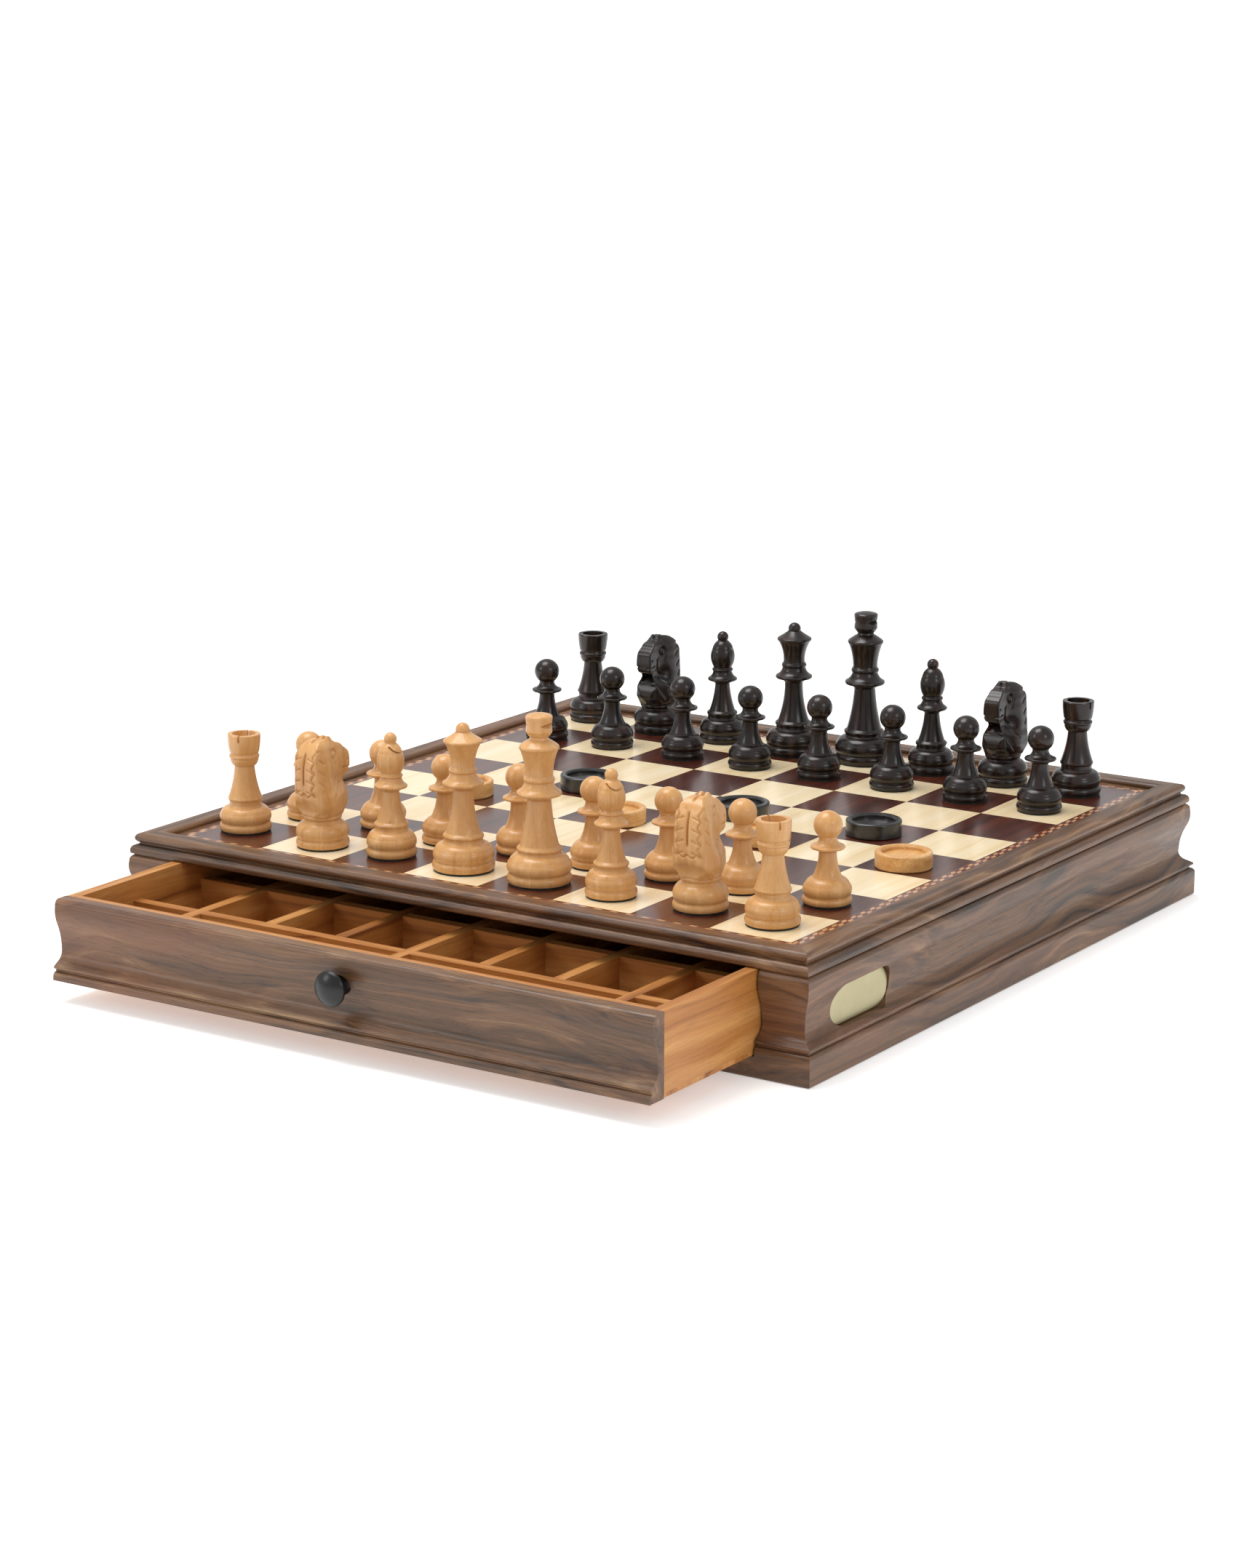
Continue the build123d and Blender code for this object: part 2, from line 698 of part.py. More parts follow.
# Pieces are set down by hand: how far each stands from the middle of its
# square, and how many degrees it is turned.
PLACING = {
    "a1": (-7.5, 2.0, 19), "b1": (1.0, -1.5, -9), "c1": (-3.0, 2.0, 0), "d1": (-2.0, 0.5, 0),
    "e1": (-1.0, 0.5, 0), "f1": (-2.5, -1.0, -25), "g1": (1.0, 3.5, 0), "h1": (-1.0, -0.5, 52),
    "a2": (3.0, -2.5, 0), "b2": (2.0, 3.0, 0), "c2": (3.0, -5.0, 0), "d2": (1.5, -1.0, 0),
    "e2": (3.5, -3.0, 0), "f2": (1.5, -1.0, 0), "g2": (-0.5, -1.0, 0), "h2": (1.5, 1.0, 0),
    "b4": (-3.0, -5.5, 0), "d4": (8.5, -10.5, 0), "f4": (3.5, -4.5, 0), "h4": (-2.0, -7.0, 0),
    "c5": (-1.5, -3.0, 0), "e5": (11.0, -9.0, 0), "g5": (-2.0, -3.5, 0),
    "a7": (0.0, -3.0, 0), "b7": (-2.0, 0.0, 0), "c7": (0.5, 0.0, 0), "d7": (0.0, 0.0, 0),
    "e7": (-1.0, 1.0, 0), "f7": (0.0, 1.0, 0), "g7": (1.0, -0.5, 0), "h7": (0.5, 0.0, 0),
    "a8": (-5.5, 7.5, 110), "b8": (-2.0, 2.5, 180), "c8": (-2.5, 2.0, 20), "d8": (2.0, -1.5, 0),
    "e8": (1.0, 2.0, 0), "f8": (-0.5, 1.0, 160), "g8": (0.0, -0.5, 180), "h8": (-1.0, 1.0, 75),
}


def place(colour, kind, name):
    """Make one piece and write it under a name such as light_rook_a1."""
    x, y = square_centre(name)
    dx, dy, turn = PLACING[name]
    piece = MAKERS[kind](x + dx, y + dy, turn)
    save(piece.part, f"{colour}_{kind}_{name}")


for file, kind in zip("abcdefgh", BACK_RANK):
    place("light", kind, file + "1")
    place("light", "pawn", file + "2")
    place("dark", "pawn", file + "7")
    place("dark", kind, file + "8")
for name in ("b4", "d4", "f4", "h4"):
    place("light", "draught", name)
for name in ("c5", "e5", "g5"):
    place("dark", "draught", name)
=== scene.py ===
import bpy
import bmesh
import json
import math
from mathutils import Matrix, Vector


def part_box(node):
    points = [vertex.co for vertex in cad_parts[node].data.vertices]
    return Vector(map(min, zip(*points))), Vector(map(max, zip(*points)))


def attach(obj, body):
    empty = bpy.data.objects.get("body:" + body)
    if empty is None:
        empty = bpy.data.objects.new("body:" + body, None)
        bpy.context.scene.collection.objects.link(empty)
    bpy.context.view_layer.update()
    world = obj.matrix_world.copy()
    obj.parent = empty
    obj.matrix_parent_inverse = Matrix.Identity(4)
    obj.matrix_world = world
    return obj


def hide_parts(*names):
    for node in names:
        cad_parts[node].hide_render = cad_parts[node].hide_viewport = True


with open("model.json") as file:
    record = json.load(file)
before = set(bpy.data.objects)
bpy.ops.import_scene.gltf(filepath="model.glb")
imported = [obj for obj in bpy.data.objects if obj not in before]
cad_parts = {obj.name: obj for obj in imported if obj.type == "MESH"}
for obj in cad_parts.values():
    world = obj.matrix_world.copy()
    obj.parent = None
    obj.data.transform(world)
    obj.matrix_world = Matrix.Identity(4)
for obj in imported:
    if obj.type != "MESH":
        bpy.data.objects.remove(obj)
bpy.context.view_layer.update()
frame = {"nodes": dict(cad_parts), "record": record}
nodes = frame["nodes"]
MM = 0.001
BOARD_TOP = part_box("light_squares")[1][2]
SQUARE = (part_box("light_squares")[1][0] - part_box("light_squares")[0][0]) / 8
INLAY_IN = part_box("light_squares")[1][0]
INLAY_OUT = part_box("mosaic_inlay")[1][0]
FELT_SHADOW_TOP = 1.0  # height of the dark band at a piece's foot, in millimetres: a cloth pad, painted near-black to also stand for the contact shadow under the piece


def srgb(text):
    """Linear colour from a hex colour."""
    values = [int(text[i : i + 2], 16) / 255 for i in (0, 2, 4)]
    linear = [v / 12.92 if v < 0.04045 else ((v + 0.055) / 1.055) ** 2.4 for v in values]
    return (*linear, 1.0)


# ---------------------------------------------------------------- shader kit
class Look:
    """A material being wired up. Coordinates are in metres in the object's frame."""

    def __init__(self, name, **surface):
        self.material = bpy.data.materials.new(name)
        self.material.use_nodes = True
        self.tree = self.material.node_tree
        self.tree.nodes.clear()
        self.out = self.tree.nodes.new("ShaderNodeOutputMaterial")
        self.bsdf = self.tree.nodes.new("ShaderNodeBsdfPrincipled")
        self.tree.links.new(self.bsdf.outputs["BSDF"], self.out.inputs["Surface"])
        for key, value in surface.items():
            self.bsdf.inputs[key.replace("_", " ")].default_value = value
        coords = self.tree.nodes.new("ShaderNodeTexCoord")
        split = self.tree.nodes.new("ShaderNodeSeparateXYZ")
        self.tree.links.new(coords.outputs["Object"], split.inputs[0])
        self.x, self.y, self.z = split.outputs

    def feed(self, socket, value):
        if isinstance(value, bpy.types.NodeSocket):
            self.tree.links.new(value, socket)
        else:
            socket.default_value = value

    def maths(self, operation, *values):
        node = self.tree.nodes.new("ShaderNodeMath")
        node.operation = operation
        for socket, value in zip(node.inputs, values):
            self.feed(socket, value)
        return node.outputs[0]

    def scaled(self, value, factor, offset=0.0):
        return self.maths("MULTIPLY_ADD", value, factor, offset)

    def inverse(self, value):
        return self.maths("SUBTRACT", 1.0, value)

    def vector(self, x, y, z):
        node = self.tree.nodes.new("ShaderNodeCombineXYZ")
        for socket, value in zip(node.inputs, (x, y, z)):
            self.feed(socket, value)
        return node.outputs[0]

    def noise(self, vector, scale=1.0, detail=3.0, rough=0.55, distortion=0.0):
        node = self.tree.nodes.new("ShaderNodeTexNoise")
        self.feed(node.inputs["Vector"], vector)
        node.inputs["Scale"].default_value = scale
        node.inputs["Detail"].default_value = detail
        node.inputs["Roughness"].default_value = rough
        node.inputs["Distortion"].default_value = distortion
        return node.outputs["Fac"]

    def stretched_noise(self, lengths, scales, detail, rough=0.55):
        """Noise drawn out by its own scale along each of three ways."""
        scaled = [self.scaled(length, scale) for length, scale in zip(lengths, scales)]
        return self.noise(self.vector(*scaled), 1.0, detail, rough)

    def white(self, vector):
        node = self.tree.nodes.new("ShaderNodeTexWhiteNoise")
        self.feed(node.inputs["Vector"], vector)
        return node.outputs["Value"]

    def ramp(self, value, *stops):
        """Stops are (place, colour), the colour a hex text or a grey level."""
        node = self.tree.nodes.new("ShaderNodeValToRGB")
        node.color_ramp.interpolation = "EASE"
        elements = node.color_ramp.elements
        while len(elements) < len(stops):
            elements.new(0.5)
        for element, (place, colour) in zip(elements, stops):
            element.position = place
            element.color = srgb(colour) if isinstance(colour, str) else (colour, colour, colour, 1)
        self.feed(node.inputs[0], value)
        return node.outputs[0]

    def mix(self, factor, a, b, blend="MIX"):
        node = self.tree.nodes.new("ShaderNodeMix")
        node.data_type = "RGBA"
        node.blend_type = blend
        self.feed(node.inputs[0], factor)
        self.feed(node.inputs[6], srgb(a) if isinstance(a, str) else a)
        self.feed(node.inputs[7], srgb(b) if isinstance(b, str) else b)
        return node.outputs[2]

    def dark_streaks(self, base, fibres, end, amount, colour):
        """Darken a base colour where the fibres are low, up to a ramp's end."""
        return self.mix(self.scaled(self.ramp(fibres, (0.3, 1.0), (end, 0.0)), amount), base, colour)

    def step(self, value, low, high):
        node = self.tree.nodes.new("ShaderNodeMapRange")
        node.interpolation_type = "SMOOTHSTEP"
        self.feed(node.inputs["Value"], value)
        node.inputs["From Min"].default_value = low
        node.inputs["From Max"].default_value = high
        return node.outputs[0]

    def bump(self, height, distance, strength=1.0):
        node = self.tree.nodes.new("ShaderNodeBump")
        node.inputs["Distance"].default_value = distance
        node.inputs["Strength"].default_value = strength
        self.feed(node.inputs["Height"], height)
        self.tree.links.new(node.outputs[0], self.bsdf.inputs["Normal"])

    def colour(self, value):
        self.tree.links.new(value, self.bsdf.inputs["Base Color"])

    def rough(self, value):
        self.tree.links.new(value, self.bsdf.inputs["Roughness"])

    def round_the_case(self):
        """(along, across) for boards that run round the four sides of the case."""
        far_x, far_y = (self.maths("ABSOLUTE", value) for value in (self.x, self.y))
        side = self.maths("GREATER_THAN", far_x, far_y)
        other = self.inverse(side)

        def choose(at_side, at_other):
            return self.maths(
                "ADD", self.maths("MULTIPLY", side, at_side), self.maths("MULTIPLY", other, at_other)
            )

        return choose(self.y, self.x), choose(self.x, self.y)

    def grain(self, along, across, up, run=5.0, band=150.0, wander=0.02):
        """Broad growth figure, 0 to 1, running along one way of the wood."""
        drift = self.stretched_noise((along, across, up), (run, 14, 14), 2.0)
        u = self.maths("ADD", across, self.scaled(drift, wander))
        w = self.maths("ADD", up, self.scaled(drift, -1.4 * wander))
        rings = self.vector(self.scaled(along, run * 0.35), self.scaled(u, band), self.scaled(w, band))
        return self.noise(rings, 1.0, 3.0, 0.6, 0.4)

    def fibres(self, along, across, up, length=45.0, fine=1400.0):
        """Fine streaks along the wood."""
        return self.stretched_noise((along, across, up), (length, fine, fine), 3.0, 0.7)


# ----------------------------------------------------------------- materials
def walnut(name):
    """Open-pored walnut whose grain follows each side of the case."""
    look = Look(name, Roughness=0.42, Coat_Weight=0.12, Coat_Roughness=0.3)
    along, across = look.round_the_case()
    figure = look.grain(along, across, look.z, 5.5, 170.0, 0.04)
    fibres = look.fibres(along, across, look.z)
    base = look.ramp(figure, (0.3, "33200e"), (0.44, "583b22"), (0.56, "6e4c2f"), (0.72, "8b6a49"))
    tint = look.stretched_noise((along, across, look.z), (9, 30, 30), 2.0)
    base = look.mix(look.scaled(look.step(tint, 0.45, 0.75), 0.45), base, "76462a")
    streaks = look.ramp(fibres, (0.3, 0.55), (0.55, 1.0), (0.8, 1.12))
    base = look.mix(0.75, base, streaks, "MULTIPLY")
    pores = look.step(look.fibres(along, across, look.z, 90, 2600), 0.33, 0.40)
    base = look.mix(look.scaled(look.inverse(pores), 0.55), base, "33221a")
    look.colour(base)
    look.rough(look.scaled(fibres, 0.25, 0.28))
    look.bump(look.maths("ADD", look.scaled(fibres, 0.5), look.scaled(pores, 0.5)), 0.00018, 0.5)
    return look.material


def veneer(name, stops, deep, rough=0.24, streak=0.35, coat=0.5):
    """Lacquered squares: one leaf of veneer to a square, each a little different."""
    look = Look(name, Roughness=rough, Coat_Weight=coat, Coat_Roughness=0.16)
    cell_x = look.maths("FLOOR", look.scaled(look.x, 1 / SQUARE))
    cell_y = look.maths("FLOOR", look.scaled(look.y, 1 / SQUARE))
    leaf = look.white(look.vector(cell_x, cell_y, 0.0))
    moved_x = look.maths("ADD", look.x, look.scaled(leaf, 3.0))
    figure = look.grain(look.y, moved_x, 0.0, 5.0, 130.0, 0.015)
    fibres = look.fibres(look.y, moved_x, 0.0, 40, 1500)
    base = look.ramp(figure, *stops)
    base = look.dark_streaks(base, fibres, 0.6, streak, deep)
    base = look.mix(look.scaled(leaf, 0.22), base, deep)
    look.colour(base)
    look.bump(fibres, 0.00004, 0.25)
    return look.material


DASH_PAIR = 8.8  # one tan dash and one red dash of the inlaid strip, in millimetres


def mosaic(name):
    """Inlaid strip: slanting tan and red dashes between thin dark lines."""
    look = Look(name, Roughness=0.26, Coat_Weight=0.4, Coat_Roughness=0.16)
    along, across = look.round_the_case()
    depth = look.maths("SUBTRACT", look.maths("ABSOLUTE", across), INLAY_IN)
    level = look.scaled(depth, 1 / (INLAY_OUT - INLAY_IN))
    line = look.maths("ABSOLUTE", look.maths("SUBTRACT", level, 0.5))
    edge = look.step(line, 0.33, 0.36)
    outer = look.step(line, 0.44, 0.46)
    slant = look.maths("ADD", look.scaled(along, 1 / (DASH_PAIR * MM)), look.scaled(level, 0.55))
    phase = look.maths("FRACT", slant)
    upper = look.maths("GREATER_THAN", level, 0.5)
    second = look.maths("GREATER_THAN", phase, 0.5)
    swap = look.maths("ABSOLUTE", look.maths("SUBTRACT", second, upper))
    fibres = look.fibres(along, across, look.z, 120, 900)
    tan = look.ramp(fibres, (0.3, "a86f48"), (0.7, "d6a676"))
    red = look.ramp(fibres, (0.3, "4c1c15"), (0.7, "7c3524"))
    base = look.mix(swap, tan, red)
    in_dash = look.maths("FRACT", look.scaled(slant, 2.0))
    joint = look.step(look.maths("ABSOLUTE", look.maths("SUBTRACT", in_dash, 0.5)), 0.40, 0.47)
    base = look.mix(look.scaled(joint, 0.6), base, "2a120d")
    base = look.mix(edge, base, "2a1712")
    base = look.mix(outer, base, "8f5f43")
    look.colour(base)
    return look.material


def board_wood(name, way, stops, pore, rough=0.5, band=90.0):
    """Plain boards whose grain runs along x or y."""
    look = Look(name, Roughness=rough, Coat_Weight=0.1, Coat_Roughness=0.35)
    along, across = (look.x, look.y) if way == "x" else (look.y, look.x)
    figure = look.grain(along, across, look.z, 5.0, band, 0.025)
    fibres = look.fibres(along, across, look.z, 60, 1500)
    base = look.ramp(figure, *stops)
    streaks = look.ramp(fibres, (0.28, 0.72), (0.55, 1.0), (0.8, 1.1))
    base = look.mix(0.7, base, streaks, "MULTIPLY")
    flecks = look.step(look.fibres(along, across, look.z, 110, 2400), 0.30, 0.38)
    base = look.mix(look.scaled(look.inverse(flecks), 0.4), base, pore)
    look.colour(base)
    look.rough(look.scaled(fibres, 0.2, rough - 0.1))
    look.bump(fibres, 0.00012, 0.4)
    return look.material


def turned_wood(name, stops, groove, rough, coat, bump, streak):
    """Turned pieces, grain upright, with the lowest millimetre a cloth pad painted near-black, so it
    also serves as painted contact shadow under the piece.
    """
    look = Look(
        name, Roughness=rough, Coat_Weight=coat, Coat_Roughness=0.12, Specular_IOR_Level=0.35
    )
    figure = look.grain(look.z, look.x, look.y, 7.0, 210.0, 0.012)
    fibres = look.fibres(look.z, look.x, look.y, 55, 1700)
    base = look.ramp(figure, *stops)
    base = look.dark_streaks(base, fibres, 0.58, streak, groove)
    turning = look.noise(look.vector(0.0, 0.0, look.scaled(look.z, 1900)), 1.0, 2.0)
    # the lowest millimetre is the cloth pad; its near-black colour is felt plus painted contact shadow
    # under the piece
    felt_shadow_mask = look.step(look.z, BOARD_TOP + (FELT_SHADOW_TOP - 0.05) * MM, BOARD_TOP + (FELT_SHADOW_TOP + 0.02) * MM)
    fuzz = look.noise(look.vector(look.x, look.y, look.z), 2600, 2.0)
    # felt colours darkened to near-black: part felt, part painted shadow
    felt_and_painted_shadow = look.ramp(fuzz, (0.3, "0c0f0b"), (0.7, "23271f"))
    look.colour(look.mix(felt_shadow_mask, felt_and_painted_shadow, base))
    dull = look.scaled(felt_shadow_mask, rough - 0.95, 0.95)
    look.rough(look.maths("ADD", dull, look.scaled(fibres, 0.08, -0.04)))
    look.bump(look.maths("ADD", look.scaled(turning, 0.4), look.scaled(fibres, 0.6)), bump, 0.35)
    return look.material


def draught_wood(name, stops, groove, rough, coat):
    """Draughts, turned from wood with the grain lying flat."""
    look = Look(name, Roughness=rough, Coat_Weight=coat, Coat_Roughness=0.14)
    figure = look.grain(look.y, look.x, look.z, 8.0, 200.0, 0.012)
    fibres = look.fibres(look.y, look.x, look.z, 60, 1500)
    base = look.ramp(figure, *stops)
    base = look.dark_streaks(base, fibres, 0.58, 0.35, groove)
    look.colour(base)
    look.bump(fibres, 0.00008, 0.4)
    return look.material


def brass(name):
    """Brushed plate."""
    look = Look(name, Metallic=1.0, Roughness=0.38)
    brushed = look.stretched_noise((look.x, look.y, look.z), (400, 60, 3200), 3.0)
    cloud = look.noise(look.vector(look.x, look.y, look.z), 90, 3.0)
    look.colour(look.mix(cloud, "bab28f", "a69d7a"))
    look.rough(look.scaled(brushed, 0.25, 0.28))
    look.bump(brushed, 0.00003, 0.3)
    return look.material


def lacquer(name):
    """Black lacquered knob."""
    look = Look(
        name, Roughness=0.26, Specular_IOR_Level=0.4, Coat_Weight=0.1, Coat_Roughness=0.1
    )
    cloud = look.noise(look.vector(look.x, look.y, look.z), 160, 4.0)
    look.colour(look.ramp(cloud, (0.3, "030303"), (0.7, "080707")))
    look.rough(look.scaled(cloud, 0.18, 0.24))
    look.bump(cloud, 0.00006, 0.3)
    return look.material


def steel(name):
    """Turned screw."""
    look = Look(name, Metallic=1.0, Roughness=0.32)
    turning = look.noise(look.vector(look.x, look.scaled(look.y, 20), look.z), 900, 2.0)
    look.colour(look.ramp(turning, (0.3, "8e8f90"), (0.7, "b9babb")))
    return look.material


MAPLE = ((0.3, "e6cda0"), (0.5, "efdcb6"), (0.7, "f5e7c9"))
MAHOGANY = ((0.3, "36130a"), (0.5, "4d1f12"), (0.7, "63301c"))
PLY = ((0.3, "6b4c30"), (0.5, "7d5c3c"), (0.7, "8f6c4a"))
BOXWOOD = ((0.25, "c08a4e"), (0.5, "cd9a60"), (0.75, "d7a971"))
EBONISED = ((0.3, "0a0605"), (0.55, "1c100b"), (0.78, "43200f"))
BOXWOOD_SLICE = ((0.28, "bb8446"), (0.5, "d09c5c"), (0.72, "dfb277"))
EBONISED_SLICE = ((0.3, "0b0909"), (0.55, "151110"), (0.75, "261a17"))
CHERRY = ((0.3, "834c1e"), (0.45, "ad6f31"), (0.58, "bf8446"), (0.72, "d19b59"))
looks = {
    "walnut": walnut("walnut"),
    "maple_veneer": veneer("maple", MAPLE, "cfae7c", 0.3, 0.2, 0.35),
    "red_veneer": veneer("mahogany", MAHOGANY, "200a06", 0.3, 0.5, 0.45),
    "mosaic_veneer": mosaic("mosaic"),
    "panel_wood": board_wood("ply", "x", PLY, "4a3320", 0.6),
    "boxwood": turned_wood("boxwood", BOXWOOD, "9a6631", 0.36, 0.25, 0.00006, 0.2),
    "ebonised": turned_wood("ebonised", EBONISED, "0a0605", 0.3, 0.2, 0.00006, 0.4),
    "brass": brass("brass"),
    "black_knob": lacquer("black_lacquer"),
    "steel": steel("steel"),
}
cherry_x = board_wood("cherry_across", "x", CHERRY, "8a4a20")
cherry_y = board_wood("cherry_lengthwise", "y", CHERRY, "8a4a20")
DRAWER_WAYS = {
    "drawer_ends": cherry_x,
    "long_dividers": cherry_x,
    "drawer_bottom": cherry_x,
    "drawer_sides": cherry_y,
    "cross_dividers": cherry_y,
}
light_draught = draught_wood("boxwood_slice", BOXWOOD_SLICE, "93602c", 0.42, 0.2)
dark_draught = draught_wood("ebonised_slice", EBONISED_SLICE, "050404", 0.3, 0.4)

slots = {row["node"]: row["material_slot"] for row in frame["record"]["subparts"]}
for name, obj in nodes.items():
    if name in DRAWER_WAYS:
        chosen = DRAWER_WAYS[name]
    elif "light_draught" in name:
        chosen = light_draught
    elif "dark_draught" in name:
        chosen = dark_draught
    else:
        chosen = looks[slots[name]]
    if obj.material_slots:
        for place in obj.material_slots:
            place.material = chosen
    else:
        obj.data.materials.append(chosen)


# ------------------------------------------------------------------- knights
def smooth(value, low, high):
    """0 below low, 1 above high, and an even curve between them."""
    t = min(max((value - low) / (high - low), 0.0), 1.0)
    return t * t * (3 - 2 * t)


def curve_through(points, steps=5):
    """Closed Catmull-Rom curve through points. A point given three numbers is a corner."""
    count = len(points)
    result = []
    for i in range(count):
        p0, p1, p2, p3 = (points[(i + k - 1) % count] for k in range(4))
        for s in range(steps):
            t = s / steps
            place = []
            for c in (0, 1):
                m1 = 0.0 if len(p1) > 2 else (p2[c] - p0[c]) / 2
                m2 = 0.0 if len(p2) > 2 else (p3[c] - p1[c]) / 2
                a = 2 * p1[c] - 2 * p2[c] + m1 + m2
                b = -3 * p1[c] + 3 * p2[c] - 2 * m1 - m2
                place.append(a * t**3 + b * t**2 + m1 * t + p1[c])
            result.append(tuple(place))
    return result


VOXEL = 0.45


def blank_of(outline, half):
    """Side view pushed out both ways along x and remeshed evenly, in millimetres."""
    shape = bmesh.new()
    rows = [[shape.verts.new((side, u, v)) for u, v in outline] for side in (-half, half)]
    count = len(outline)
    for i in range(count):
        j = (i + 1) % count
        shape.faces.new((rows[0][i], rows[0][j], rows[1][j], rows[1][i]))
    caps = [shape.faces.new(rows[0]), shape.faces.new(rows[1])]
    bmesh.ops.triangulate(shape, faces=caps, ngon_method="EAR_CLIP")
    bmesh.ops.recalc_face_normals(shape, faces=shape.faces)
    data = bpy.data.meshes.new("blank")
    shape.to_mesh(data)
    shape.free()
    blank = bpy.data.objects.new("blank", data)
    bpy.context.scene.collection.objects.link(blank)
    fine = blank.modifiers.new("fine", "REMESH")
    fine.mode = "VOXEL"
    fine.voxel_size = VOXEL
    evaluated = blank.evaluated_get(bpy.context.evaluated_depsgraph_get())
    result = bpy.data.meshes.new_from_object(evaluated)
    bpy.data.objects.remove(blank)
    return result


# Side view of the horse, in millimetres: forwards, then up from the board.
HORSE_SIDE = [
    (-9.6, 16.5, 1), (9.6, 16.5, 1), (11.2, 18.6), (12.6, 21.8), (12.3, 25.0), (10.8, 28.6),
    (8.6, 31.6), (6.4, 34.2, 1), (9.0, 35.6), (12.0, 35.2), (14.2, 36.2), (14.8, 38.2),
    (15.0, 42.6), (14.7, 46.6), (13.2, 48.6), (11.0, 50.2), (9.4, 52.0), (7.0, 52.8), (5.0, 53.2),
    (3.8, 55.8), (2.2, 56.3), (0.8, 54.8), (-2.0, 55.4), (-5.2, 54.8), (-8.6, 52.4),
    (-10.8, 48.8), (-12.0, 44.4), (-12.4, 39.6), (-12.4, 33.0), (-12.3, 27.4), (-11.8, 24.4),
    (-10.4, 22.6), (-9.4, 20.0),
]
# Half width of the blank at each height.
HORSE_WIDTH = [
    (16.5, 9.4), (19.0, 10.4), (22.0, 10.9), (26.0, 10.4), (31.0, 9.3), (36.0, 8.7), (41.0, 8.4),
    (46.0, 7.8), (50.5, 6.9), (54.0, 5.6), (57.0, 4.4),
]
BLANK_HALF = 9.0
KNIGHT_FOOT = [
    (0, 0), (12.8, 0), (12.8, 1.0), (13.0, 1.0), (13.3, 1.5), (13.43, 2.3), (13.3, 3.3),
    (13.0, 4.1), (12.5, 4.6), (12.5, 5.1), (12.9, 5.6), (13.2, 6.6), (13.34, 7.8), (13.2, 9.2),
    (12.7, 10.4), (12.1, 11.4), (11.2, 12.4), (10.2, 13.2), (9.4, 13.6), (9.0, 14.2), (9.1, 14.7),
    (9.6, 15.2), (9.8, 15.8), (9.7, 16.3), (9.2, 16.9), (8.9, 17.3), (8.8, 17.8), (9.0, 18.3),
    (0, 18.3),
]


def width_at(z):
    """Half width of the blank at a height."""
    for (z0, w0), (z1, w1) in zip(HORSE_WIDTH, HORSE_WIDTH[1:]):
        if z <= z1:
            return w0 + (w1 - w0) * smooth(z, z0, z1)
    return HORSE_WIDTH[-1][1]


def groove(distance, width):
    """1 on a line and 0 a width away from it."""
    return 1 - smooth(abs(distance), 0.0, width)


def to_segment(y, z, y0, z0, y1, z1):
    """Distance from a point of the side view to a straight cut."""
    dy, dz = y1 - y0, z1 - z0
    t = min(max(((y - y0) * dy + (z - z0) * dz) / (dy * dy + dz * dz), 0.0), 1.0)
    return math.hypot(y - y0 - t * dy, z - z0 - t * dz)


LOCK_PITCH = 5.6  # from one lock of the mane to the next
CARVED_ABOVE = 19  # the horse is plain below this height


def carve_depth(x, y, z):
    """How deep the carver's tool went, in millimetres, at a point of the horse."""
    depth = 0.0
    side = smooth(abs(x), 1.6, 3.2)
    # parting down the back of the mane, and the zigzag ends of its locks
    back = 1 - smooth(y, -9.0, -7.0)
    depth += 1.5 * groove(x, 0.7) * back * smooth(z, 32, 34) * (1 - smooth(z, 48, 50))
    mane = smooth(z, 26.5, 28.0) * (1 - smooth(z, 50, 52))
    edge = 6.0 + 1.5 * (abs(((z / LOCK_PITCH) % 1.0) - 0.5) * 2 - 0.5)
    depth += 0.9 * groove(abs(x) - edge, 0.8) * back * mane
    lock = ((z + 0.35 * abs(x)) / LOCK_PITCH) % 1.0
    inside = smooth(abs(x), 1.6, 2.8) * (1 - smooth(abs(x), edge - 0.4, edge + 0.4))
    depth += 0.7 * groove(lock - 0.5, 0.11) * inside * back * mane
    lower = 27.2 + 1.6 * abs(((x / 5.0) % 1.0) - 0.5) * 2
    depth += 0.9 * groove(z - lower, 0.7) * back * (1 - smooth(abs(x), 6.2, 7.2))
    # a few locks wrap round on to the neck
    for cut in ((-9.0, 46.5, -5.4, 44.0), (-9.4, 41.0, -6.0, 38.2), (-9.4, 35.6, -6.6, 32.6)):
        depth += 0.6 * side * groove(to_segment(y, z, *cut), 0.6)
    # mouth, nostril and the edge of the cheek
    depth += 0.9 * side * groove(to_segment(y, z, 15.2, 38.9, 10.2, 39.5), 0.6)
    depth += 0.8 * side * groove(math.hypot(y - 13.2, z - 43.2), 0.9)
    cheek = math.hypot(y - 2.6, (z - 40.6) / 1.25)
    depth += 0.55 * side * groove(cheek - 5.6, 0.9) * smooth(y, 2.0, 4.0) * (1 - smooth(z, 43.0, 45.5))
    # eye: a ring cut round a raised ball, with a fold trailing down
    eye = math.hypot(y - 3.4, (z - 47.4) / 1.1)
    depth += 0.95 * side * groove(eye - 2.0, 0.7)
    depth -= 0.4 * side * (1 - smooth(eye, 0.4, 1.5))
    depth += 0.5 * side * groove(to_segment(y, z, 2.2, 45.0, 3.0, 42.6), 0.7)
    # ears and forelock
    depth += 0.8 * groove(to_segment(y, z, 3.2, 55.2, 2.4, 51.6), 0.6) * side
    depth += 1.4 * groove(x, 1.1) * smooth(z, 53.2, 55.0)
    # facets of the chest
    depth += 0.5 * side * groove(to_segment(y, z, 8.2, 33.0, 0.5, 26.6), 1.0)
    depth += 0.45 * side * groove(to_segment(y, z, 10.4, 29.0, 5.2, 20.4), 0.9)
    return depth


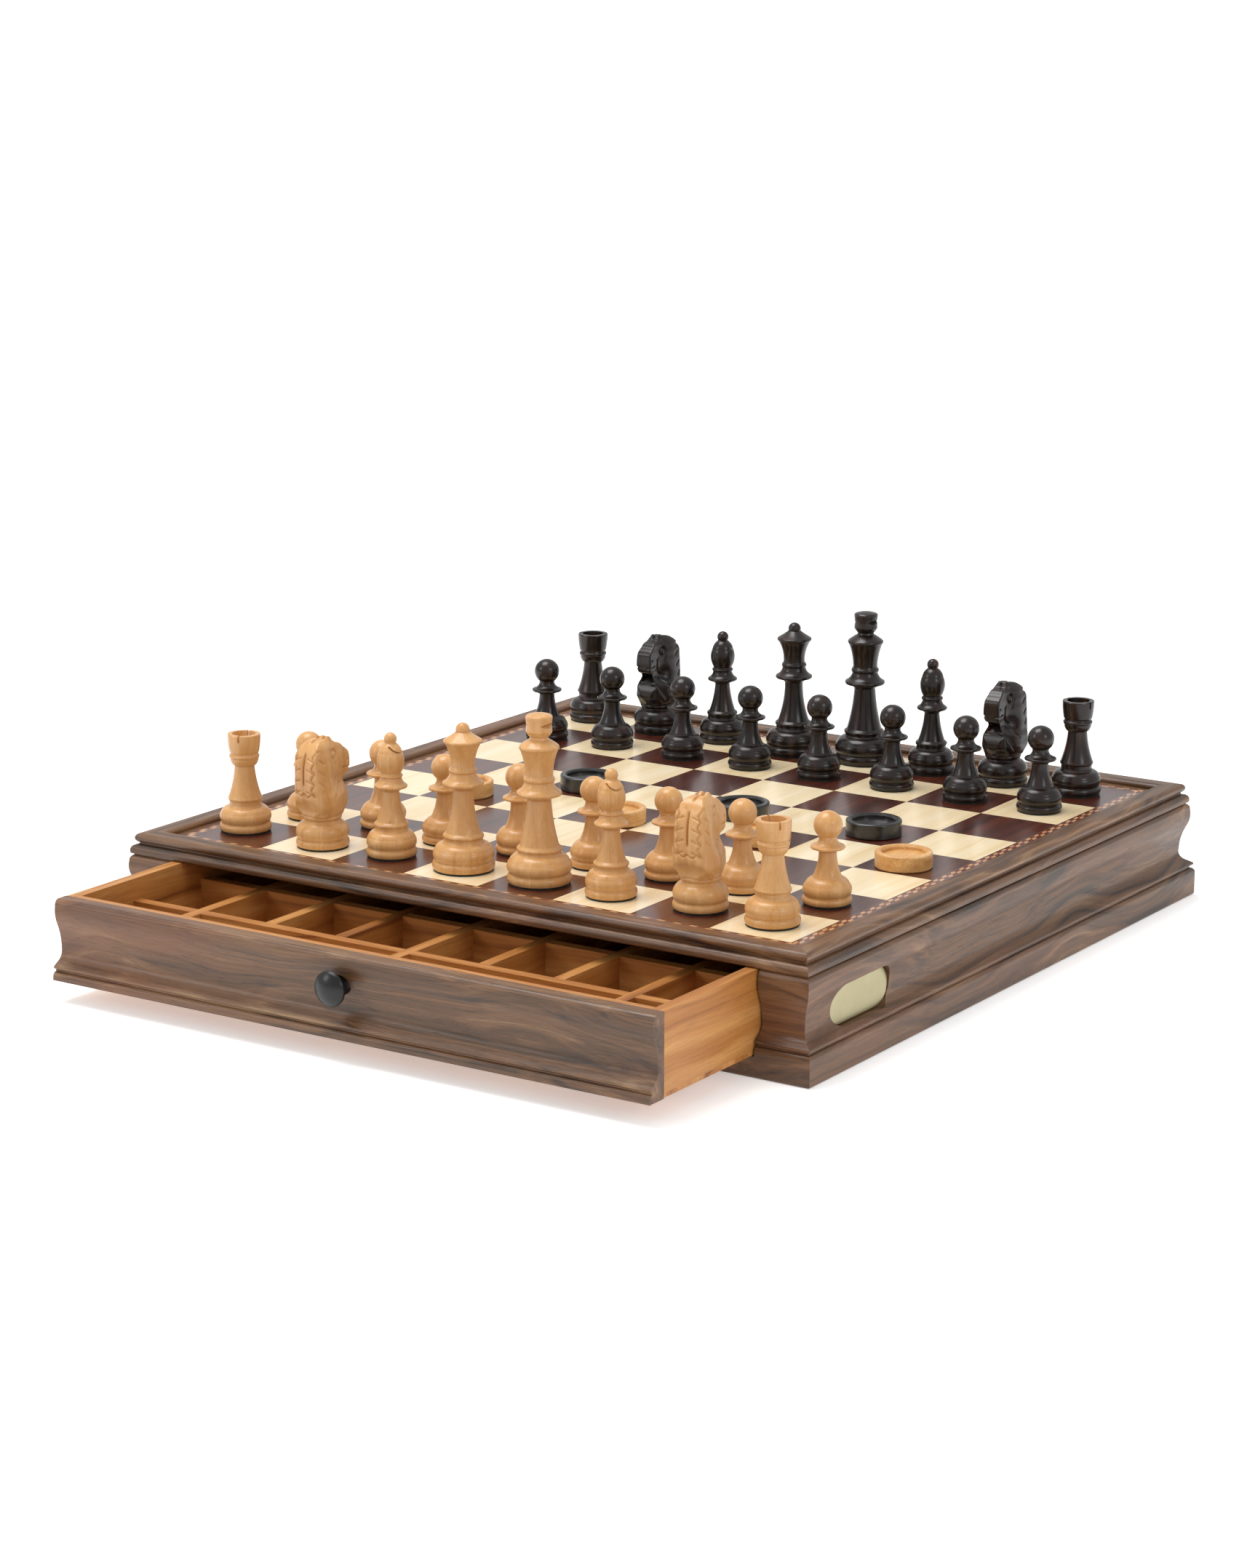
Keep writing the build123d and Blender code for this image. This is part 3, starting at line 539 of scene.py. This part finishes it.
def lathe(outline, segments=72):
    """Turned shape from (radius, height) points, closed at both ends."""
    shape = bmesh.new()
    rings = []
    for r, z in outline:
        if r == 0:
            rings.append([shape.verts.new((0, 0, z))])
        else:
            turn = [2 * math.pi * k / segments for k in range(segments)]
            places = [(r * math.cos(a), r * math.sin(a), z) for a in turn]
            rings.append([shape.verts.new(place) for place in places])
    for low, high in zip(rings, rings[1:]):
        for k in range(segments):
            j = (k + 1) % segments
            corners = [ring[i % len(ring)] for ring, i in ((low, k), (low, j), (high, j), (high, k))]
            shape.faces.new(list(dict.fromkeys(corners)))
    return shape


def soften(shape, factor):
    bmesh.ops.smooth_vert(
        shape, verts=shape.verts, factor=factor, use_axis_x=True, use_axis_y=True, use_axis_z=True
    )


def horse_mesh():
    """One carved horse on its turned foot, in millimetres, facing +Y."""
    shape = bmesh.new()
    shape.from_mesh(blank_of(curve_through(HORSE_SIDE), BLANK_HALF))
    for vert in shape.verts:
        x, y, z = vert.co
        head = smooth(z, 33.5, 37.0)
        # narrower towards the face and the chest, and nipped in at the throat
        slim = 1 - 0.42 * smooth(y, -5.0, 8.0) * head - 0.34 * smooth(y, 0.0, 12.5) * (1 - head)
        throat = 1 - 0.42 * smooth(y, -3.0, 6.0) * math.exp(-(((z - 33.5) / 3.6) ** 2))
        width = width_at(z) * slim * throat * (1 - 0.3 * smooth(z, 52.5, 56.0))
        # the body is turned round before it is carved, the head is left flat
        reach = 9.9 + 3.0 * smooth(z, 16.8, 22.0) + 0.3 * smooth(z, 26.0, 34.0)
        turned = math.sqrt(max(reach**2 - y**2, 0.0)) + 0.8
        if y > 0:
            turned += 20 * head
        vert.co.x = x / BLANK_HALF * min(width, turned)
    for _ in range(9):
        soften(shape, 0.5)
    shape.normal_update()
    moves = []
    for vert in shape.verts:
        depth = carve_depth(*vert.co) if vert.co.z > CARVED_ABOVE else 0.0
        moves.append(vert.co - vert.normal * depth)
    for vert, place in zip(shape.verts, moves):
        vert.co = place
    soften(shape, 0.3)
    foot = lathe(KNIGHT_FOOT)
    temporary = bpy.data.meshes.new("foot")
    foot.to_mesh(temporary)
    foot.free()
    shape.from_mesh(temporary)
    bmesh.ops.recalc_face_normals(shape, faces=shape.faces)
    result = bpy.data.meshes.new("horse")
    shape.to_mesh(result)
    shape.free()
    return result


horse = horse_mesh()
FOOT_RADIUS = 13.45 * MM
KNIGHTS = {  # which way each one faces, in degrees from +Y
    "light_knight_b1": -9.0,
    "light_knight_g1": 0.0,
    "dark_knight_b8": 180.0,
    "dark_knight_g8": 180.0,
}
for name, turn in KNIGHTS.items():
    low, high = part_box(name)
    axis_y = low[1] + FOOT_RADIUS if abs(turn) < 90 else high[1] - FOOT_RADIUS
    data = horse.copy()
    data.transform(Matrix.Rotation(math.radians(turn), 4, "Z") @ Matrix.Scale(MM, 4))
    data.transform(Matrix.Translation(((low[0] + high[0]) / 2, axis_y, BOARD_TOP)))
    data.polygons.foreach_set("use_smooth", [True] * len(data.polygons))
    data.set_sharp_from_angle(angle=math.radians(38))
    knight = bpy.data.objects.new("carved_" + name, data)
    bpy.context.scene.collection.objects.link(knight)
    data.materials.clear()
    data.materials.append(looks[slots[name]])
    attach(knight, name)
    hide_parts(name)

# --------------------------------------------------------------------- stage
FLOOR_HALF = 90  # metres each way, so that its far edge lies close to the horizon
floor_data = bpy.data.meshes.new("floor")
floor_corners = [(x * FLOOR_HALF, y * FLOOR_HALF, 0) for x, y in ((-1, -1), (1, -1), (1, 1), (-1, 1))]
floor_data.from_pydata(floor_corners, [], [(0, 1, 2, 3)])
floor = bpy.data.objects.new("floor", floor_data)
bpy.context.scene.collection.objects.link(floor)
floor_look = Look("floor", Roughness=0.85, Emission_Color=(1, 1, 1, 1), Emission_Strength=0.36)
paper = floor_look.noise(floor_look.vector(floor_look.x, floor_look.y, 0.0), 40, 2.0)
floor_look.colour(floor_look.ramp(paper, (0.3, 0.90), (0.7, 0.92)))
floor_data.materials.append(floor_look.material)

world = bpy.data.worlds.new("studio")
bpy.context.scene.world = world
world.use_nodes = True
sky = world.node_tree.nodes["Background"]
sky.inputs["Color"].default_value = (1.0, 1.0, 1.0, 1.0)
sky.inputs["Strength"].default_value = 0.72


def softbox(name, place, target, size, watts):
    """A rectangular area light at a place, turned to its target."""
    data = bpy.data.lights.new(name, "AREA")
    data.shape = "RECTANGLE"
    data.size, data.size_y = size
    data.energy = watts
    lamp = bpy.data.objects.new(name, data)
    lamp.location = place
    lamp.rotation_euler = (Vector(target) - Vector(place)).to_track_quat("-Z", "Y").to_euler()
    bpy.context.scene.collection.objects.link(lamp)


softbox("overhead", (-0.5, -0.2, 1.9), (0, 0, 0), (1.1, 1.1), 28)
softbox("front_left", (-1.5, -1.9, 1.2), (0, -0.1, 0.05), (0.8, 0.8), 9)
softbox("right", (2.2, -0.6, 1.2), (0.1, 0, 0.05), (0.7, 0.7), 7)

# -------------------------------------------------------------------- camera
azimuth, elevation, roll = (math.radians(angle) for angle in (33.342, 13.565, 0.15))
CAMERA_DISTANCE = 45.934 * SQUARE
LENS_MM = 86.76
ahead = math.cos(elevation)
back = Vector((math.sin(azimuth) * ahead, -math.cos(azimuth) * ahead, math.sin(elevation)))
level = Vector((math.cos(azimuth), math.sin(azimuth), 0.0))
upright = back.cross(level)
right = math.cos(roll) * level + math.sin(roll) * upright
up = math.cos(roll) * upright - math.sin(roll) * level
lens = bpy.data.cameras.new("camera")
lens.lens = LENS_MM
lens.sensor_width = 36.0
lens.sensor_fit = "AUTO"
camera = bpy.data.objects.new("camera", lens)
aim = Vector((-1.256 * SQUARE, 0.896 * SQUARE, BOARD_TOP))
facing = Matrix((right, up, back)).transposed().to_4x4()
camera.matrix_world = Matrix.Translation(aim + back * CAMERA_DISTANCE) @ facing
bpy.context.scene.collection.objects.link(camera)
bpy.context.scene.camera = camera
bpy.context.scene.view_settings.view_transform = "Standard"
